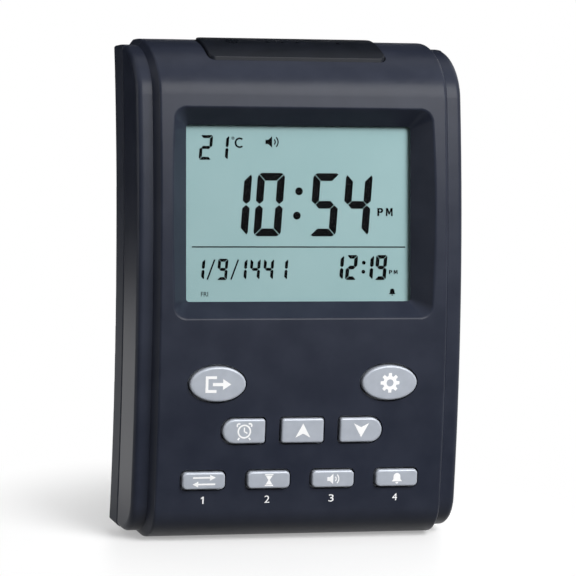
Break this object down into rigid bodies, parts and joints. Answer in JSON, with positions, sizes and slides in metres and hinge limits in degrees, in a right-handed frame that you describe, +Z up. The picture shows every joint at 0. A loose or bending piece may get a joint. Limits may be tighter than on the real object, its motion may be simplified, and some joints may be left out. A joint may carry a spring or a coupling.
{
  "type": "azan clock",
  "caption": "Desk prayer-time alarm clock: bent slab body with recessed display, silver keys, top bar and fold-out foot.",
  "frame": {"origin": "middle of the flat face under the body that the clock stands on", "axes": "+Z up, the display faces -Y and leans back, +X to the right of the display"},
  "size_m": [0.0968, 0.046, 0.1407],
  "materials": {
    "casing": "fine satin moulding",
    "cover": "fine matt moulding",
    "bar": "satin moulding",
    "key": "satin silver-grey lacquer",
    "window": "clear polished",
    "display": "grey-green liquid crystal",
    "guide": "clear moulding",
    "white_plastic": "plain moulding",
    "board": "green solder mask",
    "chip": "moulded package",
    "steel": "zinc plated",
    "nickel": "nickel plated",
    "silicone": "translucent silicone",
    "rubber": "soft black pad",
    "cone": "pressed paper",
    "cell": "plain sleeve",
    "wire": "insulated lead",
    "foil": "flexible film"
  },
  "bodies": {
    "case": {"front_case": "casing", "backlight_lamps": "white_plastic", "bar_switch": "chip", "battery_leads": "wire", "battery_plates": "nickel", "battery_springs": "nickel", "board_ribbon": "foil", "board_screws": "steel", "capacitors": "chip", "case_screws": "steel", "cell_lower": "cell", "cell_upper": "cell", "contact_strips": "rubber", "controller_chip": "chip", "crystal": "nickel", "display_board": "board", "display_frame": "white_plastic", "display_glass": "display", "display_window": "window", "key_board": "board", "key_board_screws": "steel", "key_mat": "silicone", "light_guide": "guide", "memory_chip": "chip", "rear_cover": "cover", "speaker_clamp": "white_plastic", "speaker_cone": "cone", "speaker_frame": "chip", "speaker_leads": "wire", "speaker_magnet": "steel", "temperature_sensor": "chip"},
    "top_bar": {"top_bar": "bar", "bar_plunger": "white_plastic"},
    "battery_door": {"battery_door": "cover", "door_screw": "steel"},
    "fold_out_foot": {"fold_out_foot": "cover", "foot_pad": "rubber"},
    "key_exit": {"key_exit": "key"},
    "key_four": {"key_four": "key"},
    "key_mode": {"key_mode": "key"},
    "key_next": {"key_next": "key"},
    "key_one": {"key_one": "key"},
    "key_previous": {"key_previous": "key"},
    "key_set": {"key_set": "key"},
    "key_three": {"key_three": "key"},
    "key_two": {"key_two": "key"}
  },
  "joints": [
    {"name": "key_exit_press", "type": "slide", "parent": "case", "child": "key_exit", "axis": [0, 0.9995, -0.0332], "range_m": [0, 0.0008], "stiffness_N_per_m": 900, "springref_m": -0.0004, "deforming": ["key_mat"]},
    {"name": "key_four_press", "type": "slide", "parent": "case", "child": "key_four", "axis": [0, 0.9995, -0.0332], "range_m": [0, 0.0008], "stiffness_N_per_m": 900, "springref_m": -0.0004, "deforming": ["key_mat"]},
    {"name": "key_mode_press", "type": "slide", "parent": "case", "child": "key_mode", "axis": [0, 0.9995, -0.0332], "range_m": [0, 0.0008], "stiffness_N_per_m": 900, "springref_m": -0.0004, "deforming": ["key_mat"]},
    {"name": "key_next_press", "type": "slide", "parent": "case", "child": "key_next", "axis": [0, 0.9995, -0.0332], "range_m": [0, 0.0008], "stiffness_N_per_m": 900, "springref_m": -0.0004, "deforming": ["key_mat"]},
    {"name": "key_one_press", "type": "slide", "parent": "case", "child": "key_one", "axis": [0, 0.9995, -0.0332], "range_m": [0, 0.0008], "stiffness_N_per_m": 900, "springref_m": -0.0004, "deforming": ["key_mat"]},
    {"name": "key_previous_press", "type": "slide", "parent": "case", "child": "key_previous", "axis": [0, 0.9995, -0.0332], "range_m": [0, 0.0008], "stiffness_N_per_m": 900, "springref_m": -0.0004, "deforming": ["key_mat"]},
    {"name": "key_set_press", "type": "slide", "parent": "case", "child": "key_set", "axis": [0, 0.9995, -0.0332], "range_m": [0, 0.0008], "stiffness_N_per_m": 900, "springref_m": -0.0004, "deforming": ["key_mat"]},
    {"name": "key_three_press", "type": "slide", "parent": "case", "child": "key_three", "axis": [0, 0.9995, -0.0332], "range_m": [0, 0.0008], "stiffness_N_per_m": 900, "springref_m": -0.0004, "deforming": ["key_mat"]},
    {"name": "key_two_press", "type": "slide", "parent": "case", "child": "key_two", "axis": [0, 0.9995, -0.0332], "range_m": [0, 0.0008], "stiffness_N_per_m": 900, "springref_m": -0.0004, "deforming": ["key_mat"]},
    {"name": "top_bar_press", "type": "slide", "parent": "case", "child": "top_bar", "axis": [0, -0.1564, -0.9877], "range_m": [0, 0.001], "stiffness_N_per_m": 700, "springref_m": -0.0006},
    {"name": "battery_door_lift", "type": "slide", "parent": "case", "child": "battery_door", "axis": [0, 0.9987, -0.0509], "range_m": [0, 0.015]},
    {"name": "foot_fold", "type": "hinge", "parent": "case", "child": "fold_out_foot", "pos_m": [0, 0.00515, 0.002], "axis": [-1, 0, 0], "range_deg": [-90, 0]}
  ]
}
